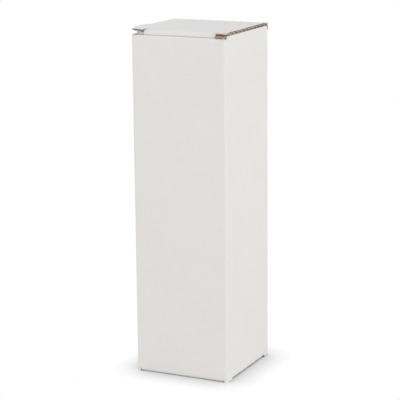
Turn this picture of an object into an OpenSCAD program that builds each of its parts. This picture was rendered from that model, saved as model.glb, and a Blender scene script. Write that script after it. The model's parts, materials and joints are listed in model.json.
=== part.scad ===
// Tall bottle box of single-wall corrugated board, closed and standing on its base.
// One blank is folded round into a tube. The lid is hinged on the back wall and tucks
// in behind the front wall, and the base is four flaps that lock into one another.
// The origin is the centre of the base, +Z is up and the front wall faces -Y.

/* [Box] */
// Outside width of the tube, across the front
box_w = 94; // [88:0.5:110]
// Outside depth of the tube, front to back
box_d = 94; // [88:0.5:110]
// Height of the front wall's cut top edge above the table
front_h = 317; // [280:0.5:360]
// Outside radius of the upright creases
corner_r = 2.6; // [1.6:0.1:3]

/* [Board] */
// Thickness of the board
board_t = 3.5; // [3.2:0.1:3.7]
// Thickness of the white outer liner
outer_t = 0.35; // [0.25:0.05:0.5]
// Thickness of the brown inner liner
inner_t = 0.3; // [0.25:0.05:0.5]
// Thickness of the corrugated medium's paper
medium_t = 0.25; // [0.2:0.05:0.35]
// Distance from one flute to the next
flute_pitch = 8.2; // [6.5:0.1:9]
// Glue line between a flute tip and a liner
flute_glue = 0.05; // [0.04:0.01:0.08]
// How far the outer liner is pressed in along the front wall's cut top edge
edge_press = 1.2; // [0.6:0.1:1.4]
// Height of the pressed band below that edge
edge_band = 2.8; // [2:0.1:4]

/* [Lid] */
// Gap between the front wall's cut edge and the lid's underside
lid_lift = 1.2; // [1:0.1:2]
// How far each side edge of the lid stands in from the side wall's face
lid_inset = 0.4; // [0.2:0.1:1]
// Outside radius of the lid's back crease
lid_crease_r = 1.4; // [1.2:0.1:1.6]
// Gap between the lid's inner rear edge and the back wall's inner top edge, each way
lid_corner_gap = 0.3; // [0.2:0.05:0.6]
// Width of the lock ear at each end of the front crease
ear_w = 10.6; // [9.4:0.2:14]
// How far the ears' front edges stand back from the front wall's face
ear_inset = 0.2; // [0.1:0.1:1]
// Width of the slit between an ear and the folded crease
slit_w = 0.4; // [0.3:0.1:0.8]

/* [Tuck flap] */
// Length of the tuck flap below the lid's underside
tuck_len = 16; // [12:0.5:17]
// Gap between the tuck flap's crease and the front wall's inner face
tuck_gap = 0.3; // [0.3:0.1:1]
// Radius of the tuck flap's free corners
tuck_corner_r = 7; // [3:0.5:9]

/* [Dust flaps] */
// Gap between the free edges of the two dust flaps
dust_gap = 8; // [6:0.5:24]
// Height of a dust flap's upper face above the front wall's cut edge
dust_rise = 0.6; // [0.3:0.1:0.7]
// Gap between a dust flap's front edge and the front wall's inner face
dust_front_gap = 0.8; // [0.5:0.1:2]
// Gap between a dust flap's rear edge and the glue flap
dust_back_gap = 1.2; // [0.8:0.1:4]
// Gap between the leaning tuck flap and the step in a dust flap's front edge
dust_tuck_gap = 1.5; // [1:0.1:4]
// Corner cut at the free rear corner of a dust flap
dust_chamfer = 9; // [4:0.5:14]

/* [Base flaps] */
// Height of the side walls' bottom creases above the table
side_crease_h = 0.6; // [0.4:0.1:1]
// Gap between one layer of base flaps and the next
layer_gap = 0.2; // [0.15:0.05:0.4]
// Clearance of the front and back flaps' roots from the side walls' inner faces
root_gap = 0.5; // [0.3:0.1:2]
// Width of the slots at the ends of the walls' top and bottom creases
slot_w = 0.3; // [0.2:0.1:1]
// Length of the full-width root of the front and back flaps
root_len = 2.4; // [1.5:0.1:3]
// Length of the front flap from the front wall's face to its shoulders
front_flap_len = 44; // [42:0.5:45]
// Width of the lock tongue
tongue_w = 38; // [30:1:38]
// Length of the lock tongue that lies over the back flap
tongue_lap = 14; // [8:0.5:16]
// Length of the back flap's two legs from the back wall's face
leg_len = 57; // [55:0.5:60]
// Gap between the base flaps' edges where one passes another
pass_gap = 3; // [2:0.5:4]

/* [Glue flap] */
// Width of the glue flap from the left wall's face
glue_flap_w = 34; // [24:1:42]
// Thickness of the glue line
glue_t = 0.15; // [0.1:0.05:0.2]
// Distance from the glue flap's ends to the front wall's top edge and to the table
glue_flap_inset = 20; // [18:1:30]
// Rise of the slanted ends of the glue flap
glue_flap_slant = 8; // [4:0.5:12]

/* [Hidden] */

white = [0.88, 0.875, 0.86];
kraft = [0.62, 0.5, 0.38];
flute_brown = [0.55, 0.43, 0.32];
glue_cream = [0.85, 0.8, 0.68];
$fn = 64;

half_w = box_w / 2;
half_d = box_d / 2;

// Plies, as depths below the board's outer face
inner_from = board_t - inner_t;
flute_mid = (outer_t + inner_from) / 2;
flute_reach = (inner_from - outer_t - medium_t) / 2 - flute_glue;
flute_samples = 8;
arc_step = 10;
overrun = 2 * board_t;

// Clearance round a crease that turns, and between plies that only meet
crease_gap = board_t / 24;
meet_gap = board_t / 50;
core_r = board_t - outer_t - meet_gap;

// How far the wave of the medium runs on into its own crushed flutes
core_lap = board_t / 50;

// Arc by which the outer liner bends in to the front wall's cut edge
press_turn = 2 * atan(edge_press / edge_band);
press_r = edge_band / sin(press_turn);

// Heights
lid_under = front_h + lid_lift;
lid_top = lid_under + board_t;
lid_axis_z = lid_top - lid_crease_r;
lid_setback = board_t + lid_corner_gap - lid_crease_r;
back_top = lid_axis_z - lid_setback;
dust_top = front_h + dust_rise;
dust_axis_z = dust_top - board_t;
layer = board_t + layer_gap;

// Lid, measured inwards from the back wall's face
lid_from = board_t + lid_corner_gap;
lid_half = half_w - lid_inset;
fold_half = lid_half - ear_w - slit_w;
fold_u = box_d - 2 * board_t - tuck_gap;
ear_end = box_d - ear_inset;
crease_web = lid_setback - 2 * crease_gap;
crease_flat = sqrt(pow(crease_web, 2) - pow(lid_crease_r, 2));
crease_core_r = lid_crease_r - outer_t - meet_gap;

// The tuck flap leans in far enough to swing clear of the front wall as the lid lifts
lean_share = 0.88;
tuck_lean = asin(lean_share * tuck_len / (fold_u - lid_crease_r));

// Dust flaps, measured towards the back from the middle of the side wall
dust_len = half_w - dust_gap / 2;
dust_front = half_d - board_t - dust_front_gap;
dust_step = fold_u - half_d - (tuck_len + board_t) * sin(tuck_lean) - dust_tuck_gap;
dust_back = half_d - 2 * board_t - glue_t - dust_back_gap;
shoulder_reach = half_w - fold_half - board_t - slit_w;
dust_shoulder = board_t + sqrt(pow(shoulder_reach, 2) - pow(board_t, 2));

// Base flaps: what each climbs, and the bends that it climbs by
side_rise = layer - side_crease_h;
back_rise = 2 * layer;
tongue_rise = 3 * layer;
side_bend_r = 1.85 * board_t;
back_bend_r = 2.55 * board_t;
tongue_bend_r = 2.85 * board_t;
side_run = bend_run(side_rise, side_bend_r);
back_run = bend_run(back_rise, back_bend_r);
tongue_run = bend_run(tongue_rise, tongue_bend_r);
root_half = half_w - board_t - root_gap;
root_slot = root_half + slot_w;
root_end = board_t + root_len;
taper_len = 1.2 * board_t;
flap_half = half_w - board_t - side_run - pass_gap;
tongue_half = tongue_w / 2;
recess_u = box_d - front_flap_len - tongue_run - meet_gap;
tongue_end = front_flap_len + tongue_run + tongue_lap;
side_root = half_d - root_end - taper_len - layer_gap;
side_slot = side_root + slot_w;
lobe_end = half_w - board_t / 2;
lobe_back = front_flap_len - half_d - pass_gap;
step_u = half_w - tongue_half - pass_gap;
side_back = half_d - board_t - back_run - pass_gap;

// Glue flap: it stands inside the back wall
seam = board_t + glue_t;
seam_end = half_d - seam;

// The run along the floor, and the turn, of an S bend that climbs by one rise
function bend_turn(rise, r) = acos(1 - rise / (2 * r));
function bend_run(rise, r) = 2 * r * sin(bend_turn(rise, r));
function bend_legs(rise, r) = [
    [bend_turn(rise, r), r + board_t / 2],
    [-bend_turn(rise, r), r - board_t / 2]
];

// A path is a start [u, z, heading] and legs. A leg is [turn, size]: with no turn, size is
// its length, and with a turn it is an arc, whose radius at the board's outer face is size.
// The outer face is on the path's right and the inside of the box is on its left.
function leg_length(leg) = leg[0] == 0 ? leg[1] : abs(leg[0]) * PI / 180 * leg[1];
function path_length(legs, i = 0) = i == len(legs) ? 0 : leg_length(legs[i]) + path_length(legs, i + 1);
function travel(at, leg) =
    leg[0] == 0
    ? [at[0] + leg[1] * cos(at[2]), at[1] + leg[1] * sin(at[2]), at[2]]
    : let(side = sign(leg[0]) * leg[1], out = at[2] + leg[0])
        [at[0] + side * (sin(out) - sin(at[2])), at[1] + side * (cos(at[2]) - cos(out)), out];
function part_of(leg, share) =
    share == 0 ? [0, 0] : leg[0] == 0 ? [0, leg[1] * share] : [leg[0] * share, leg[1]];
function walk(at, legs, s, i = 0) =
    let(reach = leg_length(legs[i]))
    (s <= reach || i == len(legs) - 1)
    ? travel(at, part_of(legs[i], s / reach))
    : walk(travel(at, legs[i]), legs, s - reach, i + 1);
function beside(at, n) = [at[0] - n * sin(at[2]), at[1] + n * cos(at[2])];
function backwards(list) = [for (k = [len(list) - 1 : -1 : 0]) list[k]];

// Places where the outline of a liner needs a point: each leg's start and each arc_step
function stations(at, legs, i = 0) =
    i == len(legs)
    ? [at]
    : let(count = legs[i][0] == 0 ? 1 : ceil(abs(legs[i][0]) / arc_step))
        concat(
            [for (k = [0 : count - 1]) travel(at, part_of(legs[i], k / count))],
            stations(travel(at, legs[i]), legs, i + 1)
        );

// Outline of one liner, between two depths below the outer face
module ply(at, legs, n_from, n_to) {
    spots = stations(at, legs);
    polygon(concat(
        [for (p = spots) beside(p, n_from)],
        backwards([for (p = spots) beside(p, n_to)])
    ));
}

// Outline of the corrugated medium: paper that follows a sine wave along the path
function wave_point(at, phase, n) =
    let(
        mid = beside(at, flute_mid + flute_reach * sin(phase)),
        tilt = atan(flute_reach * 2 * PI / flute_pitch * cos(phase))
    ) beside([mid[0], mid[1], at[2] + tilt], n);
module wave(at, legs) {
    total = path_length(legs);
    count = ceil(total / flute_pitch * flute_samples);
    spots = [for (k = [0 : count]) walk(at, legs, total * k / count)];
    turns = [for (k = [0 : count]) total * k / count * 360 / flute_pitch];
    polygon(concat(
        [for (k = [0 : count]) wave_point(spots[k], turns[k], -medium_t / 2)],
        backwards([for (k = [0 : count]) wave_point(spots[k], turns[k], medium_t / 2)])
    ));
}

// Each wall's own frame: X runs along the wall and Y inwards from its outer face.
// X is the box's X on the front and back walls, and its Y on the side walls.
module on_front() { translate([0, -half_d, 0]) children(); }
module on_back() { mirror([0, 1, 0]) on_front() children(); }
module on_right() { rotate([0, 0, 90]) translate([0, -half_w, 0]) children(); }
module on_left() { mirror([1, 0, 0]) on_right() children(); }

// Carries a section (inwards, up) along the wall, a plan upwards, or a front view inwards
module along(from, to) { translate([from, 0, 0]) rotate([90, 0, 90]) linear_extrude(to - from) children(); }
module upward(from, to) { translate([0, 0, from]) linear_extrude(to - from) children(); }
module inward(from, to) { translate([0, to, 0]) rotate([90, 0, 0]) linear_extrude(to - from) children(); }

// The three plies of a board whose section is one path
module outer_ply(at, legs, from, to) { along(from, to) ply(at, legs, 0, outer_t); }
module inner_ply(at, legs, from, to) { along(from, to) ply(at, legs, inner_from, board_t); }
module medium_ply(at, legs, from, to) { along(from, to) wave(at, legs); }

// Upright crease at a wall's end at x: a quarter ring of outer liner
module upright_crease(x, from, to) {
    upward(from, to) translate([x - corner_r, corner_r]) intersection() {
        difference() {
            circle(corner_r);
            circle(corner_r - outer_t);
        }
        translate([0, -corner_r]) square(corner_r);
    }
}
// Outer liner round a wall's bottom crease, whose lowest line is at height h
module bottom_crease(h, from, to) { outer_ply([0, h + board_t, 270], [[90, board_t]], from, to); }
// Stretch of a wall that a crease and its slots take up, for cutting away
module strip(from, to, low, high) {
    translate([from, -overrun, low]) cube([to - from, board_t + 2 * overrun, high - low]);
}
module bottom_strip(h, from, to) { strip(from, to, h - overrun, h + board_t); }
// Flutes crushed solid in a crease, as a sector of a disc about the crease's axis
module crushed(u, z, turn, from, to) {
    along(from, to) translate([u, z]) rotate(turn) intersection() {
        circle(core_r);
        square(core_r);
    }
}

// Front wall. Its outer liner bends in to the cut top edge, over flutes that are crushed there.
// Beside the slots at its bottom corners its face runs on down to the crease.

front_at = [0, front_h, 270];
front_legs = [[0, front_h - board_t]];
press_at = [edge_press, front_h, 270 - press_turn];
press_legs = [[press_turn, press_r], [0, front_h - edge_band]];
flute_at = [0, front_h - edge_band + medium_t, 270];
flute_legs = [[0, front_h - edge_band + medium_t - board_t + core_lap]];

module pressed_flutes() {
    bend = stations(press_at, [press_legs[0]]);
    low = front_h - edge_band;
    polygon(concat(
        [for (p = bend) beside(p, outer_t + meet_gap)],
        [[inner_from - meet_gap, low], [inner_from - meet_gap, front_h]]
    ));
}
module front_outer_liner() color(white) on_front() {
    difference() {
        outer_ply(press_at, press_legs, corner_r - half_w, half_w - corner_r);
        bottom_strip(0, -root_slot, root_slot);
    }
    bottom_crease(0, -root_half, root_half);
    upright_crease(half_w, 0, front_h);
    mirror([1, 0, 0]) upright_crease(half_w, 0, front_h);
}
module front_fluting() color(flute_brown) on_front() {
    medium_ply(flute_at, flute_legs, board_t - half_w, half_w - board_t);
    along(board_t - half_w, half_w - board_t) pressed_flutes();
    crushed(board_t, board_t, 180, -root_half, root_half);
}
module front_inner_liner() color(kraft) on_front()
    inner_ply(front_at, front_legs, board_t - half_w, half_w - board_t);

// Side walls. back_end is where the wall stops, short of the glue flap on the left. Behind the
// dust flap the wall is cut level with the front wall, and it runs down past its bottom crease.

side_at = [0, front_h, 270];
side_legs = [[0, front_h - side_crease_h]];

module cut_side(lap = 0) {
    difference() {
        children();
        strip(-box_d, dust_back + slot_w, dust_axis_z + lap, front_h + overrun);
        bottom_strip(side_crease_h - lap, -side_slot, side_slot);
    }
}
module side_outer(back_end) {
    cut_side() outer_ply(side_at, side_legs, corner_r - half_d, back_end - corner_r);
    outer_ply([2 * board_t, dust_axis_z, 90], [[180, board_t]], -dust_front, dust_back);
    bottom_crease(side_crease_h, -side_root, side_root);
    upright_crease(back_end, side_crease_h, front_h);
}
module side_fluting(back_end) {
    cut_side(core_lap) medium_ply(side_at, side_legs, board_t - half_d, back_end - board_t);
    crushed(board_t, dust_axis_z, 0, -dust_front, dust_back);
    crushed(board_t, dust_axis_z, 90, -dust_front, dust_back);
    crushed(board_t, side_crease_h + board_t, 180, -side_root, side_root);
}
module side_inner(back_end) cut_side() inner_ply(side_at, side_legs, board_t - half_d, back_end - board_t);

module right_outer_liner() color(white) on_right() side_outer(half_d);
module right_fluting() color(flute_brown) on_right() side_fluting(half_d);
module right_inner_liner() color(kraft) on_right() side_inner(half_d);
module left_outer_liner() color(white) on_left() side_outer(seam_end);
module left_fluting() color(flute_brown) on_left() side_fluting(seam_end);
module left_inner_liner() color(kraft) on_left() side_inner(seam_end);

// Back wall. Its left end is the blank's cut edge, and its top crease carries the lid.

back_at = [0, back_top, 270];
back_legs = [[0, back_top]];
back_flute_legs = [[0, back_top - medium_t / 2]];

module back_outer_liner() color(white) on_back() {
    difference() {
        outer_ply(back_at, back_legs, -half_w, half_w - corner_r);
        bottom_strip(0, -root_slot, root_slot);
    }
    bottom_crease(0, -root_half, root_half);
    outer_ply(
        [lid_crease_r + crease_flat, lid_top, 180],
        [[0, crease_flat], [90, lid_crease_r], [0, lid_setback]],
        -lid_half, lid_half
    );
}
module back_fluting() color(flute_brown) on_back() {
    difference() {
        medium_ply(back_at, back_flute_legs, -half_w, half_w - board_t);
        bottom_strip(-core_lap, -root_slot, half_w);
    }
    crushed(board_t, board_t, 180, -root_half, root_half);
    along(-lid_half, lid_half) translate([lid_crease_r, lid_axis_z]) {
        circle(crease_core_r);
        square([crease_flat, crease_core_r]);
        translate([-crease_core_r, -lid_setback - core_lap])
            square([lid_crease_r + crease_core_r, lid_setback + core_lap]);
    }
}
module back_inner_liner() color(kraft) on_back()
    difference() {
        inner_ply(back_at, back_legs, -half_w, half_w - board_t);
        bottom_strip(0, -root_slot, half_w);
    }

// Glue flap. It turns in from the left wall's rear crease and stands against the back wall.

module glue_flap_outline() {
    low = glue_flap_inset;
    high = front_h - glue_flap_inset;
    polygon([
        [corner_r - half_w, low], [glue_flap_w - half_w, low + glue_flap_slant],
        [glue_flap_w - half_w, high - glue_flap_slant], [corner_r - half_w, high]
    ]);
}
module glue_flap_ply(n_from, n_to) on_back() inward(seam + n_from, seam + n_to) glue_flap_outline();

module glue_flap_outer_liner() color(white) glue_flap_ply(0, outer_t);
module glue_flap_fluting() color(flute_brown) intersection() {
    on_back() medium_ply([seam, front_h, 270], front_legs, board_t - half_w, glue_flap_w - half_w);
    glue_flap_ply(0, board_t);
}
module glue_flap_inner_liner() color(kraft) intersection() {
    glue_flap_ply(inner_from, board_t);
    on_back() translate([board_t - half_w, 0, 0]) cube([glue_flap_w, box_d, front_h]);
}
module seam_glue() color(glue_cream) on_back()
    translate([board_t - half_w, board_t, glue_flap_inset + glue_flap_slant])
        cube([glue_flap_w - 2 * board_t, glue_t, front_h - 2 * glue_flap_inset - 2 * glue_flap_slant]);

// Lid, hinged at the back, with a lock ear at each end of its front crease

lid_at = [box_d, lid_top, 180];
lid_legs = [[0, box_d - lid_from]];

module lid_outline(fold_end) {
    polygon([
        [-lid_half, lid_from], [lid_half, lid_from], [lid_half, ear_end], [lid_half - ear_w, ear_end],
        [lid_half - ear_w, fold_end], [ear_w - lid_half, fold_end], [ear_w - lid_half, ear_end],
        [-lid_half, ear_end]
    ]);
}
module cut_lid(lap = 0) {
    intersection() {
        children();
        upward(lid_under - overrun, lid_top + overrun) lid_outline(fold_u + lap);
    }
}
module lid_outer_liner() color(white) on_back() {
    cut_lid() outer_ply(lid_at, lid_legs, -half_w, half_w);
    outer_ply(
        [fold_u + board_t * cos(tuck_lean), lid_under - board_t * sin(tuck_lean), 90 - tuck_lean],
        [[90 + tuck_lean, board_t]],
        -fold_half, fold_half
    );
}
module lid_fluting() color(flute_brown) on_back() {
    cut_lid(core_lap) medium_ply(lid_at, lid_legs, -half_w, half_w);
    crushed(fold_u, lid_under, 0, -fold_half, fold_half);
    crushed(fold_u, lid_under, -tuck_lean, -fold_half, fold_half);
}
module lid_inner_liner() color(kraft) on_back()
    cut_lid() inner_ply(lid_at, lid_legs, -half_w, half_w);

// Tuck flap, drawn upright below the lid and then leaned inwards about its crease

tuck_at = [fold_u + board_t, lid_under - tuck_len, 90];
tuck_legs = [[0, tuck_len]];

module tuck_outline() {
    low = lid_under - tuck_len;
    polygon(concat(
        [[-fold_half, lid_under], [-fold_half, low + tuck_corner_r]],
        [for (a = [180 : arc_step : 270])
            [tuck_corner_r - fold_half + tuck_corner_r * cos(a), low + tuck_corner_r * (1 + sin(a))]],
        [for (a = [270 : arc_step : 360])
            [fold_half - tuck_corner_r + tuck_corner_r * cos(a), low + tuck_corner_r * (1 + sin(a))]],
        [[fold_half, low + tuck_corner_r], [fold_half, lid_under]]
    ));
}
module cut_tuck() {
    on_back() translate([0, fold_u, lid_under]) rotate([-tuck_lean, 0, 0]) translate([0, -fold_u, -lid_under])
        difference() {
            intersection() {
                children();
                inward(fold_u - overrun, fold_u + board_t + overrun) tuck_outline();
            }
            translate([-half_w, fold_u, lid_under]) rotate([0, 90, 0])
                cylinder(h = box_w, r = board_t + crease_gap);
        }
}
module tuck_flap_outer_liner() color(white) cut_tuck() outer_ply(tuck_at, tuck_legs, -half_w, half_w);
module tuck_flap_fluting() color(flute_brown) cut_tuck() medium_ply(tuck_at, tuck_legs, -half_w, half_w);
module tuck_flap_inner_liner() color(kraft) cut_tuck() inner_ply(tuck_at, tuck_legs, -half_w, half_w);

// Dust flaps. The shoulder beside the side wall runs forward past the tuck flap's end.

dust_at = [dust_len, dust_top, 180];
dust_legs = [[0, dust_len - board_t]];

module dust_outline() {
    polygon([
        [-dust_front, 0], [-dust_front, dust_shoulder], [-dust_step, dust_shoulder],
        [-dust_step, dust_len], [dust_back - dust_chamfer, dust_len],
        [dust_back, dust_len - dust_chamfer], [dust_back, 0]
    ]);
}
module cut_dust() {
    difference() {
        intersection() {
            children();
            upward(dust_axis_z - overrun, dust_top + overrun) dust_outline();
        }
        translate([-half_d, board_t, dust_axis_z]) rotate([0, 90, 0])
            cylinder(h = box_d, r = board_t + crease_gap);
    }
}
module dust_outer() color(white) cut_dust() outer_ply(dust_at, dust_legs, -half_d, half_d);
module dust_fluting() color(flute_brown) cut_dust() medium_ply(dust_at, dust_legs, -half_d, half_d);
module dust_inner() color(kraft) cut_dust() inner_ply(dust_at, dust_legs, -half_d, half_d);

module left_dust_outer_liner() on_left() dust_outer();
module left_dust_fluting() on_left() dust_fluting();
module left_dust_inner_liner() on_left() dust_inner();
module right_dust_outer_liner() on_right() dust_outer();
module right_dust_fluting() on_right() dust_fluting();
module right_dust_inner_liner() on_right() dust_inner();

// Base flaps. The back flap folds in first, the side flaps over it, and the front flap last:
// its tongue climbs through the recess between the back flap's legs and lies over that flap.

front_base_at = [board_t, 0, 0];
front_base_legs = concat(
    [[0, front_flap_len - board_t]],
    bend_legs(tongue_rise, tongue_bend_r),
    [[0, tongue_lap]]
);
back_base_at = [board_t, 0, 0];
back_base_legs = concat(
    bend_legs(back_rise, back_bend_r),
    [[0, leg_len - board_t - back_run]]
);
side_base_at = [board_t, side_crease_h, 0];
side_base_legs = concat(
    bend_legs(side_rise, side_bend_r),
    [[0, lobe_end - board_t - side_run]]
);

module base_root(half, end) {
    polygon([
        [-root_half, board_t], [root_half, board_t], [root_half, root_end], [half, root_end + taper_len],
        [half, end], [-half, end], [-half, root_end + taper_len], [-root_half, root_end]
    ]);
}
module front_base_outline() {
    base_root(flap_half, front_flap_len);
    tip = tongue_half / 4;
    polygon([
        [-tongue_half, root_end + taper_len], [tongue_half, root_end + taper_len],
        [tongue_half, tongue_end - tip], [tongue_half - tip, tongue_end],
        [tip - tongue_half, tongue_end], [-tongue_half, tongue_end - tip]
    ]);
}
module back_base_outline() {
    difference() {
        base_root(flap_half, leg_len);
        translate([-tongue_half - pass_gap, recess_u]) square([2 * (tongue_half + pass_gap), leg_len]);
    }
}
module side_base_outline() {
    polygon([
        [-side_root, board_t], [-side_root, lobe_end], [lobe_back, lobe_end], [lobe_back, step_u],
        [side_back, step_u], [side_back, board_t + side_run], [side_root, board_t]
    ]);
}
module cut_base() {
    intersection() {
        children(0);
        upward(-overrun, 4 * layer + overrun) children(1);
    }
}

module front_base_outer_liner() color(white) on_front() cut_base() {
    outer_ply(front_base_at, front_base_legs, -half_w, half_w);
    front_base_outline();
}
module front_base_fluting() color(flute_brown) on_front() cut_base() {
    medium_ply(front_base_at, front_base_legs, -half_w, half_w);
    front_base_outline();
}
module front_base_inner_liner() color(kraft) on_front() cut_base() {
    inner_ply(front_base_at, front_base_legs, -half_w, half_w);
    front_base_outline();
}
module back_base_outer_liner() color(white) on_back() cut_base() {
    outer_ply(back_base_at, back_base_legs, -half_w, half_w);
    back_base_outline();
}
module back_base_fluting() color(flute_brown) on_back() cut_base() {
    medium_ply(back_base_at, back_base_legs, -half_w, half_w);
    back_base_outline();
}
module back_base_inner_liner() color(kraft) on_back() cut_base() {
    inner_ply(back_base_at, back_base_legs, -half_w, half_w);
    back_base_outline();
}
module side_base_outer() color(white) cut_base() {
    outer_ply(side_base_at, side_base_legs, -half_d, half_d);
    side_base_outline();
}
module side_base_fluting() color(flute_brown) cut_base() {
    medium_ply(side_base_at, side_base_legs, -half_d, half_d);
    side_base_outline();
}
module side_base_inner() color(kraft) cut_base() {
    inner_ply(side_base_at, side_base_legs, -half_d, half_d);
    side_base_outline();
}
module right_base_outer_liner() on_right() side_base_outer();
module right_base_fluting() on_right() side_base_fluting();
module right_base_inner_liner() on_right() side_base_inner();
module left_base_outer_liner() on_left() side_base_outer();
module left_base_fluting() on_left() side_base_fluting();
module left_base_inner_liner() on_left() side_base_inner();

front_outer_liner();
front_fluting();
front_inner_liner();
right_outer_liner();
right_fluting();
right_inner_liner();
back_outer_liner();
back_fluting();
back_inner_liner();
left_outer_liner();
left_fluting();
left_inner_liner();
glue_flap_outer_liner();
glue_flap_fluting();
glue_flap_inner_liner();
seam_glue();
lid_outer_liner();
lid_fluting();
lid_inner_liner();
tuck_flap_outer_liner();
tuck_flap_fluting();
tuck_flap_inner_liner();
left_dust_outer_liner();
left_dust_fluting();
left_dust_inner_liner();
right_dust_outer_liner();
right_dust_fluting();
right_dust_inner_liner();
front_base_outer_liner();
front_base_fluting();
front_base_inner_liner();
right_base_outer_liner();
right_base_fluting();
right_base_inner_liner();
back_base_outer_liner();
back_base_fluting();
back_base_inner_liner();
left_base_outer_liner();
left_base_fluting();
left_base_inner_liner();
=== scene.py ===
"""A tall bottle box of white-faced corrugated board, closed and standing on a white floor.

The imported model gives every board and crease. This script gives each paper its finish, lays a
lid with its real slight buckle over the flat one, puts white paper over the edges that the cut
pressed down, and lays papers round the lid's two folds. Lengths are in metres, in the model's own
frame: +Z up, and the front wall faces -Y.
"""
import json
import math

import bmesh
import bpy
import numpy as np
from mathutils import Matrix, Vector


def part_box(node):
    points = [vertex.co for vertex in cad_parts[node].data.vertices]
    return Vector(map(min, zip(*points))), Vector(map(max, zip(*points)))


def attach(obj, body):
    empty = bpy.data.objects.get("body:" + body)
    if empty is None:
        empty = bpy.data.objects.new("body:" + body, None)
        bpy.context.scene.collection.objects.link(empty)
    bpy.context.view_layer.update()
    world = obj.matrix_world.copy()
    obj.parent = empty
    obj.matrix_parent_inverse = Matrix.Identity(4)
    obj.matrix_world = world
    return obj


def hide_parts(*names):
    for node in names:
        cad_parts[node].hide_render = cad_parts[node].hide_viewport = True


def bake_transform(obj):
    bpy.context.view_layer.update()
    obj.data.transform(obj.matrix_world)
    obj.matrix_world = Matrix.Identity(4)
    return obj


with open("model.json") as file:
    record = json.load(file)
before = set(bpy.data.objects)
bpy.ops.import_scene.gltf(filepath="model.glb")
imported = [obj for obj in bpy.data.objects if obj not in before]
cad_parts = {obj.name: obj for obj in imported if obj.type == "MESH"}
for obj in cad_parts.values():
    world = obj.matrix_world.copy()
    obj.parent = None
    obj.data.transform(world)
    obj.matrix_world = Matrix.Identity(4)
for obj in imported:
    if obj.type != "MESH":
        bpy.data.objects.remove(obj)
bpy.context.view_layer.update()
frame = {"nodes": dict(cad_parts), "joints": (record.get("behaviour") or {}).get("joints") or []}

MM = 0.001
X, Y, Z = range(3)
JOINTS = {joint["name"]: joint for joint in frame["joints"]}


def extent(node, axis):
    """Lowest and highest place of a node along one axis."""
    low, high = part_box(node)
    return low[axis], high[axis]


def thickness(node):
    """Thickness of a level paper."""
    low, high = extent(node, Z)
    return high - low


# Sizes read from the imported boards
HALF_W = extent("front_outer_liner", X)[1]
HALF_D = -extent("front_outer_liner", Y)[0]
FRONT_TOP = extent("front_outer_liner", Z)[1]
FOLD_Y, LID_UNDER = JOINTS["tuck_fold"]["pos_m"][1:]
LID_AXIS_Y, LID_AXIS_Z = JOINTS["lid_hinge"]["pos_m"][1:]
DUST_AXIS_X = JOINTS["right_dust_fold"]["pos_m"][0]
DUST_AXIS_Z = JOINTS["right_dust_fold"]["pos_m"][2]
BOARD = HALF_W - DUST_AXIS_X
LID_TOP = LID_UNDER + BOARD
OUTER_PLY = thickness("left_dust_outer_liner")
INNER_PLY = thickness("left_dust_inner_liner")
INNER_FROM = BOARD - INNER_PLY
LID_HALF = extent("lid_outer_liner", X)[1]
LID_FRONT, LID_REAR = extent("lid_outer_liner", Y)
FOLD_HALF = extent("tuck_flap_outer_liner", X)[1]
LID_CREASE_R = HALF_D - LID_AXIS_Y
SIDE_CREASE_Z = extent("right_outer_liner", Z)[0] + BOARD
BACK_TOP = extent("back_inner_liner", Z)[1]
DUST_FRONT = extent("right_dust_outer_liner", Y)[0]
GLUE_FLAP_FACE_Y = extent("glue_flap_outer_liner", Y)[1]
TUCK_LEAN = math.asin((LID_UNDER - extent("lid_outer_liner", Z)[0]) / BOARD)

# Sizes of the paper that the boxes of the boards don't show
CORNER_R = 2.6 * MM
MEDIUM_PLY = 0.25 * MM
FLUTE_PITCH = 8.2 * MM
FLUTE_GLUE = 0.05 * MM
SLIT = 0.4 * MM
EDGE_PRESS = 1.2 * MM
EDGE_BAND = 2.8 * MM
PRESS_R = EDGE_BAND / math.sin(2 * math.atan(EDGE_PRESS / EDGE_BAND))
WHITE_COAT = 0.13 * MM


class Value:
    """A shader socket that takes arithmetic: a formula on values adds its own Math nodes."""

    def __init__(self, finish, socket):
        self.finish = finish
        self.socket = socket

    def math(self, operation, *others):
        return self.finish.math(operation, self, *others)

    def __add__(self, other):
        return self.math("ADD", other)

    def __mul__(self, other):
        return self.math("MULTIPLY", other)

    def __sub__(self, other):
        return self.math("SUBTRACT", other)

    def __rsub__(self, other):
        return self.finish.math("SUBTRACT", other, self)

    __radd__ = __add__
    __rmul__ = __mul__

    def abs(self):
        return self.math("ABSOLUTE")

    def root(self):
        return self.math("SQRT")

    def sine(self):
        return self.math("SINE")

    def above_zero(self):
        return self.math("MAXIMUM", 0.0)

    def or_more(self, other):
        return self.math("MAXIMUM", other)

    def or_less(self, other):
        return self.math("MINIMUM", other)

    def step(self, start, end):
        """0 before start and 1 past end, with a smooth rise between them."""
        return self.finish.node(
            "ShaderNodeMapRange", {"interpolation_type": "SMOOTHSTEP"}, self, start, end, 0.0, 1.0
        )


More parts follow.
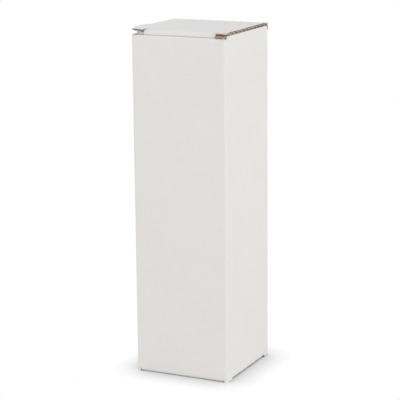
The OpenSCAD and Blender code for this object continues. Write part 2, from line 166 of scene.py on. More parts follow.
class Finish:
    """The nodes of one material or of the world, which all come from the method node."""

    def __init__(self, owner):
        owner.use_nodes = True
        self.owner = owner
        self.tree = owner.node_tree
        self.tree.nodes.clear()
        self.place = self.node("ShaderNodeTexCoord", output="Object")

    def node(self, kind, settings=None, *inputs, output=0, **named):
        """Adds a node: settings are set first, then its sockets in order, then by name."""
        node = self.tree.nodes.new(kind)
        for key, setting in (settings or {}).items():
            setattr(node, key, setting)
        pairs = list(zip([s for s in node.inputs if s.enabled], inputs))
        pairs += [(node.inputs[key.replace("_", " ")], given) for key, given in named.items()]
        for socket, given in pairs:
            if isinstance(given, Value):
                self.tree.links.new(given.socket, socket)
            else:
                socket.default_value = given
        if not node.outputs:
            return None
        found = [s for s in node.outputs if s.enabled]
        socket = found[output] if isinstance(output, int) else node.outputs[output]
        return Value(self, socket)

    def math(self, operation, *values):
        """A Math node on sockets and plain numbers."""
        return self.node("ShaderNodeMath", {"operation": operation}, *values)

    def axes(self):
        """The place on the piece as its three numbers."""
        return [self.node("ShaderNodeSeparateXYZ", None, self.place, output=k) for k in (X, Y, Z)]

    def noise(self, size, detail=2.0, rough=0.5):
        """Soft noise from 0 to 1. size is its grain, one for all or three for X, Y and Z."""
        scale = tuple(1 / grain for grain in np.broadcast_to(size, 3))
        place = self.node("ShaderNodeMapping", {"vector_type": "POINT"}, self.place, Scale=scale)
        return self.node(
            "ShaderNodeTexNoise", {"noise_dimensions": "3D"}, Vector=place,
            Scale=1.0, Detail=detail, Roughness=rough
        )

    def mix(self, share, first, second):
        """first where share is 0 and second where it is 1, both colours."""
        return self.node(
            "ShaderNodeMix", {"data_type": "RGBA"}, share, as_colour(first), as_colour(second)
        )

    def bump(self, height, distance, strength=1.0):
        """The normal of a relief whose height goes from 0 to 1 over this distance."""
        return self.node("ShaderNodeBump", None, Height=height, Distance=distance, Strength=strength)

    def close(self, colour, roughness, normal, specular):
        """Ends the material in one Principled shader."""
        shader = self.node(
            "ShaderNodeBsdfPrincipled", None, Base_Color=colour, Roughness=roughness,
            Normal=normal, Specular_IOR_Level=specular
        )
        self.node("ShaderNodeOutputMaterial", None, shader)
        return self.owner


def as_colour(given):
    """An sRGB triple from 0 to 255 as linear RGBA. A socket passes through."""
    if isinstance(given, Value):
        return given
    share = np.array(given) / 255
    linear = np.where(share <= 0.04045, share / 12.92, ((share + 0.055) / 1.055) ** 2.4)
    return (*linear, 1.0)


# Papers. A grain is the size of a fibre bundle along X, Y and Z, so it says which way fibres run.

UPRIGHT_GRAIN = (0.35 * MM, 0.35 * MM, 2.4 * MM)
DEEP_GRAIN = (0.35 * MM, 2.4 * MM, 0.35 * MM)
FLUTE_GRAIN = (2.4 * MM, 0.4 * MM, 0.4 * MM)
WHITE_CLOUD = 31 * MM
WHITE_PATCH = 7 * MM
WHITE_FLECK = 0.9 * MM
WHITE_RELIEF = 0.03 * MM
BROWN_CLOUD = 18 * MM
BROWN_SPECK = 0.7 * MM
BROWN_RELIEF = 0.04 * MM
GLUE_LUMP = 1.5 * MM
GLUE_RELIEF = 0.05 * MM

# Each pair of tones goes from the darker to the lighter, and each pair of shares from none to all.
WHITE_TONES = ((230, 227, 224), (233, 231, 229))
CUT_TONES = ((194, 181, 167), (218, 207, 194))
BROWN_TONES = ((156, 139, 120), (184, 167, 148))
FLUTE_TONES = ((200, 187, 172), (224, 213, 199))
GLUE_TONES = ((222, 212, 186), (240, 234, 214))
FLECK_TONE = (196, 188, 180)
SPECK_TONE = (96, 76, 56)
TONE_SHARES = (0.3, 0.7)
FLECK_SHARES = (0.78, 0.84)
SPECK_SHARES = (0.72, 0.8)
COAT_END = (0.8 * WHITE_COAT, 1.2 * WHITE_COAT)


def two_tone(finish, noise, tones):
    """A dark and a light tone, which change over in the middle of the noise's range."""
    return finish.mix(noise.step(*TONE_SHARES), *tones)


def white_paper(name, depth_of, grain, across):
    """White-topped liner: white to the depth of its coat and brown below, as its cut edge shows.

    depth_of gives the depth below the board's outer face at a place, and across is the axis that
    counts the flutes beneath, whose tips show through as a very faint washboard."""
    finish = Finish(bpy.data.materials.new(name))
    axes = finish.axes()
    depth = depth_of(finish, axes)
    clouds = finish.noise(WHITE_CLOUD, detail=3.0)
    patches = finish.noise(WHITE_PATCH)
    fibres = finish.noise(grain, detail=3.0, rough=0.6)
    flecks = finish.noise(WHITE_FLECK, detail=1.0).step(*FLECK_SHARES)
    washboard = (axes[across] * (2 * math.pi / FLUTE_PITCH)).sine()
    face = two_tone(finish, clouds * 0.5 + patches * 0.3 + fibres * 0.2, WHITE_TONES)
    face = finish.mix(flecks * 0.25, face, FLECK_TONE)
    core = two_tone(finish, fibres, CUT_TONES)
    colour = finish.mix(depth.step(*COAT_END), face, core)
    height = fibres * 0.35 + patches * 0.5 + washboard * 0.5
    normal = finish.bump(height, WHITE_RELIEF, strength=0.6)
    return finish.close(colour, roughness=0.62 - 0.12 * fibres, normal=normal, specular=0.35)


def brown_paper(name, grain, tones):
    """Brown inner liner or flute paper, with darker specks."""
    finish = Finish(bpy.data.materials.new(name))
    fibres = finish.noise(grain, detail=4.0, rough=0.65)
    clouds = finish.noise(BROWN_CLOUD, detail=3.0)
    specks = finish.noise(BROWN_SPECK, detail=1.0).step(*SPECK_SHARES)
    colour = two_tone(finish, fibres * 0.7 + clouds * 0.3, tones)
    colour = finish.mix(specks * 0.5, colour, SPECK_TONE)
    normal = finish.bump(fibres, BROWN_RELIEF, strength=0.6)
    return finish.close(colour, roughness=0.8, normal=normal, specular=0.3)


def dried_glue(name):
    """Cream glue, a little glossy, with an uneven skin."""
    finish = Finish(bpy.data.materials.new(name))
    skin = finish.noise(GLUE_LUMP)
    colour = finish.mix(skin, *GLUE_TONES)
    return finish.close(colour, roughness=0.35, normal=finish.bump(skin, GLUE_RELIEF), specular=0.5)


# Depths below a board's outer face, by the board's own shape. Each function takes a finish and
# the place's three numbers, and gives a value.

CREASE_FADE = 0.1 * BOARD


def depth_in_round(a, b, centre, radius):
    """Depth below an outer face that is flat and then turns about centre with this radius."""
    reach = (a - centre[0]).above_zero()
    rise = (b - centre[1]).above_zero()
    return radius - (reach * reach + rise * rise).root()


def depth_in_tube(axes):
    """Depth below the four walls' faces and their rounded upright creases."""
    centre = (HALF_W - CORNER_R, HALF_D - CORNER_R)
    return depth_in_round(axes[X].abs(), axes[Y].abs(), centre, CORNER_R)


def depth_in_bottom_crease(axes):
    """Depth below the crease along the bottom of the front or the back wall."""
    return depth_in_round(axes[Y].abs(), 0.0 - axes[Z], (HALF_D - BOARD, -BOARD), BOARD)


def depth_in_front_wall(finish, axes):
    """Front wall: the tube, its bottom crease and the pressed band along its cut top edge."""
    centre = (HALF_D - PRESS_R, FRONT_TOP - EDGE_BAND)
    pressed = depth_in_round(0.0 - axes[Y], axes[Z], centre, PRESS_R)
    return depth_in_tube(axes).or_less(depth_in_bottom_crease(axes)).or_less(pressed)


def depth_in_back_wall(finish, axes):
    """Back wall: the tube, its bottom crease and the lid's crease."""
    lid = depth_in_round(axes[Y], axes[Z], (LID_AXIS_Y, LID_AXIS_Z), LID_CREASE_R)
    return depth_in_tube(axes).or_less(depth_in_bottom_crease(axes)).or_less(lid)


def depth_in_side_walls(finish, axes):
    """Side walls: the tube, its bottom creases and the dust flaps' creases."""
    across = axes[X].abs()
    bottom = depth_in_round(across, 0.0 - axes[Z], (DUST_AXIS_X, -SIDE_CREASE_Z), BOARD)
    along = across - DUST_AXIS_X
    rise = (axes[Z] - DUST_AXIS_Z).above_zero()
    crease = BOARD - (along * along + rise * rise).root()
    crease_start = DUST_AXIS_Z - BOARD
    at_top = axes[Z].step(crease_start, crease_start + CREASE_FADE)
    return depth_in_tube(axes).or_less(bottom).or_less(crease + (1 - at_top))


def depth_in_glue_flap(finish, axes):
    """The glue flap's outer face looks at the back wall."""
    return GLUE_FLAP_FACE_Y - axes[Y]


def depth_in_dust_flap(finish, axes):
    """A dust flap's outer face is its top."""
    return DUST_AXIS_Z + BOARD - axes[Z]


def depth_in_tuck_flap(finish, axes):
    """The tuck flap's outer face is a plane that leans with it about its crease."""
    ahead = (FOLD_Y - axes[Y]) * math.cos(TUCK_LEAN)
    down = (LID_UNDER - axes[Z]) * math.sin(TUCK_LEAN)
    return BOARD - (ahead + down)


def depth_by_attribute(finish, axes):
    """A piece made here carries its own depth on its points."""
    return finish.node("ShaderNodeAttribute", {"attribute_name": "depth"}, output="Fac")


def depth_nowhere(finish, axes):
    """Base flaps: white all round, because their outer liner is white where it can be seen."""
    return axes[X] * 0.0


# Mesh making

GRID_STEP = 1.0 * MM
STRIP_STEP = 2.0 * MM
ARC_STEP = 7.5


def steps(start, end, step):
    """Evenly spaced numbers from start to end, no further apart than step."""
    return np.linspace(start, end, int(math.ceil(abs(end - start) / step)) + 1)


def smooth(share):
    """3 share^2 - 2 share^3 between 0 and 1, level at both ends."""
    share = np.clip(share, 0, 1)
    return share * share * (3 - 2 * share)


def arc(centre, radius, start, end):
    """Points on an arc in a section, between two angles in degrees from its level axis."""
    turn = np.radians(steps(start, end, ARC_STEP))[:, None]
    return np.array(centre) + radius * np.concatenate([np.cos(turn), np.sin(turn)], 1)


def drawn_in(section, centre, radius):
    """The same section at a radius about a centre, with each point at its own angle."""
    away = section - np.array(centre)
    return centre + away / np.linalg.norm(away, axis=1, keepdims=True) * radius


def closed_sheet(top, bottom, top_depth=0.0, bottom_depth=0.0):
    """A closed shell between two grids of points: the two faces and the rim that joins them.

    It comes with the depth of each point below the board's outer face."""
    rows, columns = top.shape[:2]
    count = rows * columns
    points = np.concatenate([top.reshape(-1, 3), bottom.reshape(-1, 3)])
    index = np.arange(count).reshape(rows, columns)
    quads = np.stack([index[:-1, :-1], index[:-1, 1:], index[1:, 1:], index[1:, :-1]], -1)
    upper = quads.reshape(-1, 4)
    lower = upper[:, ::-1] + count
    rim = np.concatenate([index[0, :], index[1:, -1], index[-1, -2::-1], index[-2:0:-1, 0]])
    ahead = np.roll(rim, -1)
    wall = np.stack([ahead, rim, rim + count, ahead + count], -1)
    depths = np.repeat([top_depth, bottom_depth], count)
    return points, np.concatenate([upper, lower, wall]), depths


def swept(face, behind, along, axis=X, behind_depth=0.0):
    """A paper between two sections that are both carried along X or Y.

    A section's points are their places on the other level axis and on Z, and each one gives a
    row of the grid."""
    grids = []
    for section in (face, behind):
        across = np.broadcast_to(along, (len(section), len(along)))
        level, up = (np.broadcast_to(section[:, k:k + 1], across.shape) for k in (0, 1))
        grids.append(np.stack([across, level, up] if axis == X else [level, across, up], -1))
    return closed_sheet(*grids, 0.0, behind_depth)


def joined(shells):
    """Several shells as one list of points, one of faces and one of depths."""
    points, faces, depths = zip(*shells)
    starts = np.cumsum([0] + [len(shell_points) for shell_points in points[:-1]])
    faces = [shell_faces + start for shell_faces, start in zip(faces, starts)]
    return np.concatenate(points), np.concatenate(faces), np.concatenate(depths)


def placed(name, data):
    """A new object in the scene, for a mesh, a camera or a lamp."""
    made = bpy.data.objects.new(name, data)
    bpy.context.scene.collection.objects.link(made)
    return made


def turn_outwards(mesh):
    """Points every face outwards."""
    work = bmesh.new()
    work.from_mesh(mesh)
    bmesh.ops.recalc_face_normals(work, faces=work.faces)
    work.to_mesh(mesh)
    work.free()


def piece(name, shells, material):
    """A mesh object from shells, with its depths as an attribute and its normals outwards."""
    points, faces, depths = joined(shells)
    mesh = bpy.data.meshes.new(name)
    mesh.from_pydata(points.tolist(), [], faces.tolist())
    attribute = mesh.attributes.new("depth", "FLOAT", "POINT")
    attribute.data.foreach_set("value", depths.astype(np.float32))
    mesh.materials.append(material)
    mesh.update()
    turn_outwards(mesh)
    made = placed(name, mesh)
    return made


# The lid. It is not quite flat: its side edges ride up on the side walls' creases, and its left
# edge buckles up behind the ear.

FLAT_LENGTH = LID_REAR - FOLD_Y
EAR_LENGTH = LID_REAR - LID_FRONT
CREASE_LENGTH = (math.pi / 2 + TUCK_LEAN) * BOARD
CREASE_STEP = BOARD / 6
WAVE_STEP = FLUTE_PITCH / 14
END_ROWS = 4

# How far the side edges ride up, and the bell of the buckle
RIDE_RIGHT = 0.85 * MM
RIDE_LEFT = 0.8 * MM
RIDE_ACROSS = 16 * MM
RIDE_BEHIND = 5 * MM
RIDE_AHEAD = 9 * MM
RIDE_LOST_AT_TIP = 0.6
BUCKLE = 1.5 * MM
BUCKLE_Y = -27 * MM
BUCKLE_AHEAD = 15 * MM
BUCKLE_BEHIND = 14 * MM
BUCKLE_ACROSS = 17 * MM

# The pressed side edges and the two lock ears
SIDE_REACH = 5 * MM
SIDE_THICK_REAR = 2.6 * MM
SIDE_THICK_FRONT = 3.0 * MM
EAR_REACH = 8 * MM
LEFT_EAR_THICK = 1.1 * MM
LEFT_EAR_RISE = 2.6 * MM
RIGHT_EAR_THICK = 4.6 * MM
RIGHT_EAR_SAG = 0.5 * MM
RIGHT_EAR_DROOP = 1.5 * MM
DROOP_AHEAD = 3 * MM
DROOP_ACROSS = 5 * MM

# Crushed paper: what the sprung ear shows, the closed channel ends and the fold's core
OPEN_REACH = 16 * MM
SKIN_REACH = 6 * MM
SKIN_PLY = 0.75 * MM
MAT_PLY = 0.8 * MM
EDGE_FILL = 1.6 * MM
PLY_GAP = 0.02 * OUTER_PLY
CORE_FROM = 1.2 * OUTER_PLY
CORE_TO = 0.98 * BOARD


def lid_lift(x, y):
    """Height above a flat lid: the side edges' rise, plus a bell on the left edge.

    The rise fades smoothly towards the middle, the back crease and, on the right, the ear's tip.
    The bell is exp(-(distance / width) ** 2) both along and across the edge."""
    off = y - BUCKLE_Y
    along = np.where(off < 0, off / BUCKLE_AHEAD, off / BUCKLE_BEHIND)
    across = (x + LID_HALF) / BUCKLE_ACROSS
    bell = BUCKLE * np.exp(-along ** 2 - across ** 2)
    edge = smooth(1 - (LID_HALF - np.abs(x)) / RIDE_ACROSS) * smooth((LID_REAR - y) / RIDE_BEHIND)
    tip = 1 - RIDE_LOST_AT_TIP * smooth(1 - (y - LID_FRONT) / RIDE_AHEAD)
    return bell + edge * np.where(x < 0, RIDE_LEFT, RIDE_RIGHT * tip)


def lid_point(x, s, depth):
    """Place on the lid at x, s along it from its rear edge, and depth below its outer face.

    Up to the fold line the path is straight. Past it, it turns down about the fold's axis, with
    angle = (s - flat length) / board thickness."""
    x, s, depth = np.broadcast_arrays(x, s, depth)
    angle = np.clip((s - FLAT_LENGTH) / BOARD, 0, None)
    y = LID_REAR - np.minimum(s, FLAT_LENGTH) - (BOARD - depth) * np.sin(angle)
    z = LID_UNDER + (BOARD - depth) * np.cos(angle)
    return np.stack([x, y, z + lid_lift(x, y)], -1)


def squeezed(depth, thick):
    """Depth in a board pressed or opened to another thickness, whose liners keep their own.

    The outer liner hangs from the top, the inner one stands on the bottom, and the room between
    them is scaled."""
    room = (thick - OUTER_PLY - INNER_PLY) / (BOARD - OUTER_PLY - INNER_PLY)
    between = OUTER_PLY + (depth - OUTER_PLY) * room
    shifted = thick - (BOARD - depth)
    return np.where(depth <= OUTER_PLY, depth, np.where(depth >= INNER_FROM, shifted, between))


def ear_point(x, s, depth):
    """Place on a side strip of the lid, which runs on flat past the fold line as a lock ear.

    Each side edge is pressed thinner from below. The left ear's tip is pressed thin and lifted.
    The right ear's tip has sprung open: its lower paper sags and droops at the corner."""
    x, s, depth = np.broadcast_arrays(x, s, depth)
    y = LID_REAR - s
    edge = smooth(1 - (LID_HALF - np.abs(x)) / SIDE_REACH)
    edge_thick = SIDE_THICK_REAR + (SIDE_THICK_FRONT - SIDE_THICK_REAR) * s / EAR_LENGTH
    pressed = (BOARD - edge_thick) * edge
    tip = smooth(1 - (EAR_LENGTH - s) / EAR_REACH)
    droop = smooth(1 - (EAR_LENGTH - s) / DROOP_AHEAD) * smooth(1 - (LID_HALF - x) / DROOP_ACROSS)
    droop = droop * RIGHT_EAR_DROOP
    thick = BOARD - pressed
    thick = thick + (np.where(x < 0, LEFT_EAR_THICK, RIGHT_EAR_THICK) - thick) * tip + droop
    sprung = pressed * (1 - tip) - RIGHT_EAR_SAG * tip - droop
    rise = np.where(x < 0, np.maximum(LEFT_EAR_RISE * tip, pressed), sprung)
    under = LID_UNDER + lid_lift(x, y) + rise
    return np.stack([x, y, under + thick - squeezed(depth, thick)], -1)


def ply(place, x, s, low, high):
    """One flat paper between two depths."""
    across, along = x[None, :], s[:, None]
    return closed_sheet(place(across, along, low), place(across, along, high), low, high)


def flutes(place, x, s, opened):
    """The corrugated paper: a sine wave along s, thickened square to its own slope.

    The wave's depth is middle + reach * sin(2 pi s / pitch), and each face lies half the paper's
    thickness from it along the wave's normal. Where the front end is opened, the wave lies down
    on the inner liner."""
    middle = (OUTER_PLY + INNER_FROM) / 2
    reach = (INNER_FROM - OUTER_PLY - MEDIUM_PLY) / 2 - FLUTE_GLUE
    phase = 2 * math.pi * (EAR_LENGTH - s) / FLUTE_PITCH
    laid = opened * smooth(1 - (EAR_LENGTH - s) / OPEN_REACH)
    wave = middle + reach * np.sin(phase)
    wave = wave + (middle + reach - wave) * laid
    slope = np.gradient(wave, s)
    size = np.sqrt(1 + slope ** 2)
    faces = []
    for side in (-MEDIUM_PLY / 2, MEDIUM_PLY / 2):
        along = np.clip(s - side * slope / size, 0, s[-1])
        faces.append(place(x[None, :], along[:, None], (wave + side / size)[:, None]))
    return closed_sheet(*faces, middle, middle)


def crushed_ends(place, side, s):
    """The flutes' ends pushed over by the cut, which close the channels EDGE_FILL behind it."""
    depth = np.linspace(OUTER_PLY, INNER_FROM, END_ROWS)[None, :]
    faces = []
    for back in (EDGE_FILL, EDGE_FILL + MEDIUM_PLY):
        faces.append(place(side * (LID_HALF - back), s[:, None], depth))
    return closed_sheet(*faces, OUTER_PLY, OUTER_PLY)


def lid_strips():
    """The lid as strips that meet at the slits: path, stations across, length, share opened."""
    edge = FOLD_HALF + SLIT
    yield ear_point, steps(-LID_HALF, -edge, GRID_STEP), EAR_LENGTH, 0
    yield ear_point, steps(edge, LID_HALF, GRID_STEP), EAR_LENGTH, 1
    yield lid_point, steps(-edge, edge, GRID_STEP), FLAT_LENGTH, 0


def make_lid(white, brown, flute):
    """The lid's three papers, each one piece, and the brown crushed board in its fold.

    Where the right ear has sprung open, a skin of its flutes still hangs on the outer paper, and
    a mat of them lies on the inner one."""
    outer, medium, inner = [], [], []
    for place, x, length, opened in lid_strips():
        s = steps(0, length, GRID_STEP)
        outer.append(ply(place, x, s, 0, OUTER_PLY))
        inner.append(ply(place, x, s, INNER_FROM, BOARD))
        medium.append(flutes(place, x, steps(0, length, WAVE_STEP), opened))
        if place is ear_point:
            closed = s[s < EAR_LENGTH - opened * SKIN_REACH]
            medium.append(crushed_ends(place, np.sign(x[0]), closed))
        if opened:
            tip = steps(EAR_LENGTH - SKIN_REACH, EAR_LENGTH, GRID_STEP)
            medium.append(ply(place, x, tip, OUTER_PLY + PLY_GAP, OUTER_PLY + SKIN_PLY))
            inner.append(ply(place, x, tip, INNER_FROM - MAT_PLY, INNER_FROM - PLY_GAP))
    fold_x = steps(-FOLD_HALF, FOLD_HALF, GRID_STEP)
    fold_s = steps(FLAT_LENGTH, FLAT_LENGTH + CREASE_LENGTH, CREASE_STEP)
    inner.append(ply(lid_point, fold_x, fold_s, CORE_FROM, CORE_TO))
    papers = [
        ("lid_white_paper", outer, white, "white_liner", "lid_outer_liner"),
        ("lid_flute_paper", medium, flute, "fluting_paper", "lid_fluting"),
        ("lid_brown_paper", inner, brown, "brown_liner", "lid_inner_liner"),
    ]
    for name, shells, material, slot, node in papers:
        made = piece(name, shells, material)
        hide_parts(node)
        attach(made, "lid")


# Papers over the folds and the pressed edges. CREASE_PROUD lifts each one clear of the packed
# board below it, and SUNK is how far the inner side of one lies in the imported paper.

CREASE_PROUD = 0.04 * MM
SUNK = 0.5 * OUTER_PLY
COAT_PLY = 0.08 * MM
BEND_R = 1.1 * MM
LAP_ROWS = 9

FOLD_LIP_R = 0.45 * MM
FOLD_OVER = 0.22 * MM
FOLD_BACK = 1.2 * MM
FOLD_CORE_DEPTH = 0.7 * WHITE_COAT


def make_fold(white):
    """The white paper round the lid's front crease, between the lid and the tuck flap.

    Its section runs on along the lid, turns down in a quarter circle from the lid's top to just
    above the front wall's cut edge, turns in over that edge with FOLD_LIP_R, and ends on the tuck
    flap's outer face. Its inner side is the crease's crushed core, at the same angles about the
    fold's axis."""
    low = FRONT_TOP + FOLD_OVER
    nose_z = low + FOLD_LIP_R
    nose_y = FOLD_Y - BOARD - FOLD_BACK
    top = LID_TOP + CREASE_PROUD
    nose_r = top - nose_z
    face_y = FOLD_Y - BOARD * math.cos(TUCK_LEAN) - CREASE_PROUD
    section = np.concatenate([
        [(FOLD_Y + FOLD_BACK, top)],
        arc((nose_y + nose_r, nose_z), nose_r, 90, 180),
        arc((nose_y + FOLD_LIP_R, nose_z), FOLD_LIP_R, 180, 270)[1:],
        [(face_y - FOLD_LIP_R, low)],
        arc((face_y - FOLD_LIP_R, low - FOLD_LIP_R), FOLD_LIP_R, 90, 0)[1:],
    ])
    core = drawn_in(section, (FOLD_Y, LID_UNDER), BOARD - OUTER_PLY)
    x = steps(-FOLD_HALF, FOLD_HALF, STRIP_STEP)
    shell = swept(section, core, x, behind_depth=FOLD_CORE_DEPTH)
    made = piece("fold_white_paper", [shell], white)
    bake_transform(made)


EDGE_DOWN = 1.1 * MM
EDGE_OVER = 1.9 * MM
EDGE_RISE = 0.06 * MM
EDGE_SHIFT = 0.012 * MM


def make_front_edge(white):
    """The front wall's white paper where the cut presses it on over the board's edge.

    The section follows the pressed band's arc up from EDGE_DOWN below the edge and then lies
    almost level, EDGE_OVER long."""
    centre = (PRESS_R - HALF_D, FRONT_TOP - EDGE_BAND)
    start = 180 - math.degrees(math.asin((EDGE_BAND - EDGE_DOWN) / PRESS_R))
    end = 180 - math.degrees(math.asin(EDGE_BAND / PRESS_R))
    band = arc(centre, PRESS_R + CREASE_PROUD, start, end)
    lip = band[-1] + np.array([(EDGE_OVER / 2, EDGE_RISE), (EDGE_OVER, EDGE_RISE)])
    section = np.concatenate([band, lip])
    x = steps(CORNER_R - HALF_W, HALF_W - CORNER_R, STRIP_STEP)
    shell = swept(section, section + (EDGE_SHIFT, -COAT_PLY), x)
    made = piece("front_edge_white_paper", [shell], white)
    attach(made, "box")


# The back crease: the white paper that runs from the back wall over to the lid, and the brown
# paper inside it. INNER_ROWS are the brown paper's rows up the wall, over the slant and along the
# lid.

CREASE_LAP = 3.0 * MM
INNER_ROWS = (5, 18, 5)


def back_roll(radius, reach):
    """Up the back wall by reach, round a quarter turn about the hinge, and in along the lid by
    as much."""
    up = np.linspace((radius, -reach), (radius, 0), LAP_ROWS)[:-1]
    bend = arc((0, 0), radius, 0, 90)
    over = np.linspace((0, radius), (-reach, radius), LAP_ROWS)[1:]
    return np.concatenate([up, bend, over]) + (LID_AXIS_Y, LID_AXIS_Z)


def make_back_crease(white):
    """The white paper that runs from the back wall over to the lid, and bends between them."""
    setback = LID_AXIS_Y - LID_REAR
    face = back_roll(LID_CREASE_R + CREASE_PROUD, setback + CREASE_LAP)
    behind = back_roll(LID_CREASE_R - SUNK, setback + CREASE_LAP)
    x = steps(-LID_HALF, LID_HALF, STRIP_STEP)
    shell = swept(face, behind, x, behind_depth=OUTER_PLY)
    strip = piece("back_crease_white_paper", [shell], white)
    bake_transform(strip)


def make_inner_crease(brown):
    """The brown paper across the inside of the back crease.

    At rest its middle rows stand close together on the short slant between the two boards'
    inner corners."""
    wall_y = HALF_D - BOARD - CREASE_PROUD
    lid_z = LID_UNDER - CREASE_PROUD
    corners = [
        (wall_y, BACK_TOP - CREASE_LAP), (wall_y, BACK_TOP),
        (LID_REAR, lid_z), (LID_REAR - CREASE_LAP, lid_z),
    ]
    runs = [np.linspace(a, b, rows)[1:] for a, b, rows in zip(corners, corners[1:], INNER_ROWS)]
    face = np.concatenate([corners[:1], *runs])
    x = steps(-LID_HALF, LID_HALF, STRIP_STEP)
    shell = swept(face, face + 0.5 * INNER_PLY, x)
    strip = piece("back_crease_brown_paper", [shell], brown)
    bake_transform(strip)


# The dust flaps' creases and front edges

RIGHT_RIDGE = 1.65 * MM
RIDGE_TURN = 150
LIP_LAP = 5.0 * MM
LEFT_CURL = 2.0 * MM


def make_dust_creases(white):
    """The outer paper of each side wall's top crease. The right one stands up in a narrow ridge.

    The section runs up the wall's face, over in a turn of BEND_R, and on to the roll of the
    packed paper, which is its inner side at the same angles."""
    out = BOARD + CREASE_PROUD
    y = steps(CORNER_R - HALF_D, HALF_D - BOARD, STRIP_STEP)
    for name, side, ridge, turn in (("right", 1, RIGHT_RIDGE, RIDGE_TURN), ("left", -1, CREASE_PROUD, 90)):
        bend = arc((out - BEND_R, BOARD + ridge - BEND_R), BEND_R, 0, turn)
        section = np.concatenate([[(out, 0)], bend, [(0, out)]])
        core = drawn_in(section, (0, 0), BOARD - SUNK)
        face, behind = ((path + (DUST_AXIS_X, DUST_AXIS_Z)) * (side, 1) for path in (section, core))
        strip = piece(f"{name}_dust_crease_paper", [swept(face, behind, y, Y)], white)
        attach(strip, "box")


def shoulder_start():
    """How far from the middle plane a dust flap's front edge steps back."""
    mesh = frame["nodes"]["right_dust_outer_liner"].data
    places = np.empty(3 * len(mesh.vertices))
    mesh.vertices.foreach_get("co", places)
    places = places.reshape(-1, 3)
    return places[places[:, Y] < DUST_FRONT + CREASE_PROUD][:, X].min()


def make_dust_lips(white):
    """The white paper that the cut presses down over each dust flap's front edge.

    The section runs forwards on the flap, curls up by the flap's curl over LIP_LAP, turns down in
    a quarter of BEND_R and runs on down the cut edge. It is carried along X from the shoulder's
    step to the side wall's crease."""
    top = DUST_AXIS_Z + BOARD + CREASE_PROUD
    front = DUST_FRONT - CREASE_PROUD
    reach = steps(shoulder_start(), DUST_AXIS_X, GRID_STEP)
    share = np.linspace(0, 1, LAP_ROWS)[:-1]
    for name, side, curl in (("right", 1, 0), ("left", -1, LEFT_CURL)):
        rising = np.stack([front + LIP_LAP + (BEND_R - LIP_LAP) * share, top + curl * smooth(share)], -1)
        bend = arc((front + BEND_R, top + curl - BEND_R), BEND_R, 90, 180)
        section = np.concatenate([rising, bend, [(front, DUST_AXIS_Z)]])
        shell = swept(section, section + (COAT_PLY, -COAT_PLY), side * reach)
        lip = piece(f"{name}_dust_lip_paper", [shell], white)
        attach(lip, f"{name}_dust_flap")


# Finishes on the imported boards: for each group its boards, the depth below their outer face, the
# grain of their papers and the axis that counts their flutes

BOARD_GROUPS = {
    "front_wall": (("front",), depth_in_front_wall, UPRIGHT_GRAIN, Z),
    "back_wall": (("back",), depth_in_back_wall, UPRIGHT_GRAIN, Z),
    "side_walls": (("left", "right"), depth_in_side_walls, UPRIGHT_GRAIN, Z),
    "glue_flap": (("glue_flap",), depth_in_glue_flap, UPRIGHT_GRAIN, Z),
    "tuck_flap": (("tuck_flap",), depth_in_tuck_flap, UPRIGHT_GRAIN, Z),
    "dust_flap": (("left_dust", "right_dust"), depth_in_dust_flap, DEEP_GRAIN, X),
    "base": (("front_base", "right_base", "back_base", "left_base"), depth_nowhere, DEEP_GRAIN, Y),
}


def dress(node, material):
    """Gives a packed board its material."""
    slots = frame["nodes"][node].data.materials
    slots.clear()
    slots.append(material)


def make_papers():
    """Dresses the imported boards, and gives the three papers that the new pieces share.

    The back wall's fluting is seen only where it is crushed in the lid's crease, stuck to the
    brown liner, so it has that liner's finish."""
    upright = brown_paper("brown_upright", UPRIGHT_GRAIN, BROWN_TONES)
    level = brown_paper("brown_level", DEEP_GRAIN, BROWN_TONES)
    flute = brown_paper("flute_paper", FLUTE_GRAIN, FLUTE_TONES)
    for group, (boards, depth_of, grain, across) in BOARD_GROUPS.items():
        white = white_paper(f"white_{group}", depth_of, grain, across)
        for board in boards:
            dress(f"{board}_outer_liner", white)
            dress(f"{board}_fluting", level if board == "back" else flute)
            dress(f"{board}_inner_liner", level if grain is DEEP_GRAIN else upright)
    dress("seam_glue", dried_glue("seam_glue_skin"))
    return white_paper("white_lid", depth_by_attribute, DEEP_GRAIN, Y), level, flute


# Camera, at the photograph's angle and distance

AZIMUTH, ELEVATION, ROLL = (math.radians(angle) for angle in (25.64, 12.66, -0.568))
CAMERA_WIDTHS = 16.194
AIM_SHARE = 0.51
FOCAL_PX = 1628.9
PICTURE_PX = 400
CENTRE_PX = (202.21, 196.97)
SENSOR_MM = 36.0
NEAREST_SEEN = 0.05
FURTHEST_SEEN = 50.0


def make_camera():
    """Looks at about half the front wall's height, rolled and shifted as the photograph is."""
    a, e = AZIMUTH, ELEVATION
    back = np.array([math.sin(a) * math.cos(e), -math.cos(a) * math.cos(e), math.sin(e)])
    right = np.array([math.cos(a), math.sin(a), 0.0])
    up = np.cross(back, right)
    turned_right = right * math.cos(ROLL) + up * math.sin(ROLL)
    turned_up = up * math.cos(ROLL) - right * math.sin(ROLL)
    data = bpy.data.cameras.new("camera")
    data.sensor_width = SENSOR_MM
    data.lens = FOCAL_PX * SENSOR_MM / PICTURE_PX
    data.shift_x = (PICTURE_PX / 2 - CENTRE_PX[0]) / PICTURE_PX
    data.shift_y = (CENTRE_PX[1] - PICTURE_PX / 2) / PICTURE_PX
    data.clip_start = NEAREST_SEEN
    data.clip_end = FURTHEST_SEEN
    place = back * CAMERA_WIDTHS * 2 * HALF_W + np.array([0, 0, AIM_SHARE * FRONT_TOP])
    matrix = np.eye(4)
    matrix[:3] = np.stack([turned_right, turned_up, back, place], -1)
    camera = placed("camera", data)
    camera.matrix_world = Matrix(matrix.tolist())
    bpy.context.scene.camera = camera


# Floor and light

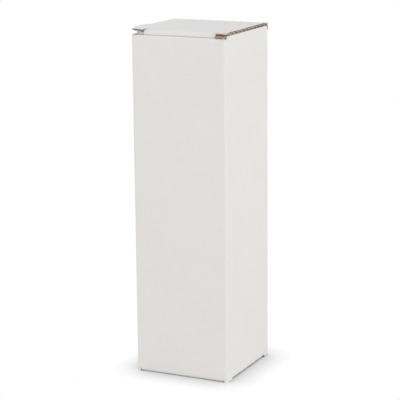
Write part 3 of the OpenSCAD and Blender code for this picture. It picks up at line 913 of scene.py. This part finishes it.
FLOOR_REACH = 8.0
FLOOR_TONE = (242, 242, 242)
# The floor's shade tone is a darker paint that only camera rays see: painted shade near the box.
FLOOR_PAINTED_SHADE_TONE = (205, 205, 205)
PAINTED_SHADE_REACH = 28 * MM
PAINTED_SHADE_SHARE = 1.4
PAINTED_SHADE_SAMPLES = 16
GLOW = (1, 1, 1, 1)
SKY = 0.82
LAMP_SIZE = 0.9
LAMPS = {
    "right_lamp": ((1.65, -0.3, 0.55), 4.8),
    "front_lamp": ((-0.5, -1.7, 0.7), 2.3),
    "top_lamp": ((0.3, -0.6, 1.9), 1.9),
}


def make_floor():
    """A white floor. Camera, glossy and transmitted rays see it lifted to white by a glow, but near the
    box the glow gives way to its diffuse paint by the share that what stands near closes off, found
    by ambient occlusion. Those rays see that paint darker than other rays do, so the shade round the
    box is painted shade on top of the real shade that the lamps and the sky cast."""
    finish = Finish(bpy.data.materials.new("white_floor"))
    camera, glossy, transmitted = (
        finish.node("ShaderNodeLightPath", output=f"Is {kind} Ray")
        for kind in ("Camera", "Glossy", "Transmission")
    )
    seen = camera.or_more(glossy).or_more(transmitted)
    open_share = finish.node(
        "ShaderNodeAmbientOcclusion", {"samples": PAINTED_SHADE_SAMPLES}, Distance=PAINTED_SHADE_REACH, output="AO"
    )
    # Painted shade: ambient occlusion lets the darker paint show through the glow near the box.
    lifted = seen * (1 - (1 - open_share) * PAINTED_SHADE_SHARE).above_zero()
    paint = finish.node("ShaderNodeBsdfDiffuse", None, finish.mix(seen, FLOOR_TONE, FLOOR_PAINTED_SHADE_TONE))
    glow = finish.node("ShaderNodeEmission", None, GLOW, 1.0)
    both = finish.node("ShaderNodeMixShader", None, lifted, paint, glow)
    finish.node("ShaderNodeOutputMaterial", None, both)
    mesh = bpy.data.meshes.new("floor")
    corners = [(-1, -1), (1, -1), (1, 1), (-1, 1)]
    mesh.from_pydata([(x * FLOOR_REACH, y * FLOOR_REACH, 0) for x, y in corners], [], [(0, 1, 2, 3)])
    mesh.materials.append(finish.owner)
    floor = placed("floor", mesh)


def make_sky():
    """An even white room. The camera sees it as plain white."""
    world = bpy.data.worlds.new("studio")
    bpy.context.scene.world = world
    finish = Finish(world)
    seen = finish.node("ShaderNodeLightPath", output="Is Camera Ray")
    lit, plain = (finish.node("ShaderNodeBackground", None, GLOW, strength) for strength in (SKY, 1.0))
    both = finish.node("ShaderNodeMixShader", None, seen, lit, plain)
    finish.node("ShaderNodeOutputWorld", None, both)


def make_lamp(name, place, watts):
    """A square soft lamp that faces the middle of the box."""
    data = bpy.data.lights.new(name, "AREA")
    data.size = LAMP_SIZE
    data.energy = watts
    aim = np.array([0, 0, FRONT_TOP / 2]) - np.array(place)
    lamp = placed(name, data)
    lamp.location = place
    lamp.rotation_euler = Vector(aim).to_track_quat("-Z", "Y").to_euler()


bpy.context.scene.view_settings.view_transform = "Standard"
lid_white, level_brown, flute_brown = make_papers()
make_lid(lid_white, level_brown, flute_brown)
make_fold(lid_white)
make_front_edge(lid_white)
make_back_crease(lid_white)
make_inner_crease(level_brown)
make_dust_creases(lid_white)
make_dust_lips(lid_white)
make_camera()
make_sky()
make_floor()
for lamp_name, (lamp_place, lamp_watts) in LAMPS.items():
    make_lamp(lamp_name, lamp_place, lamp_watts)
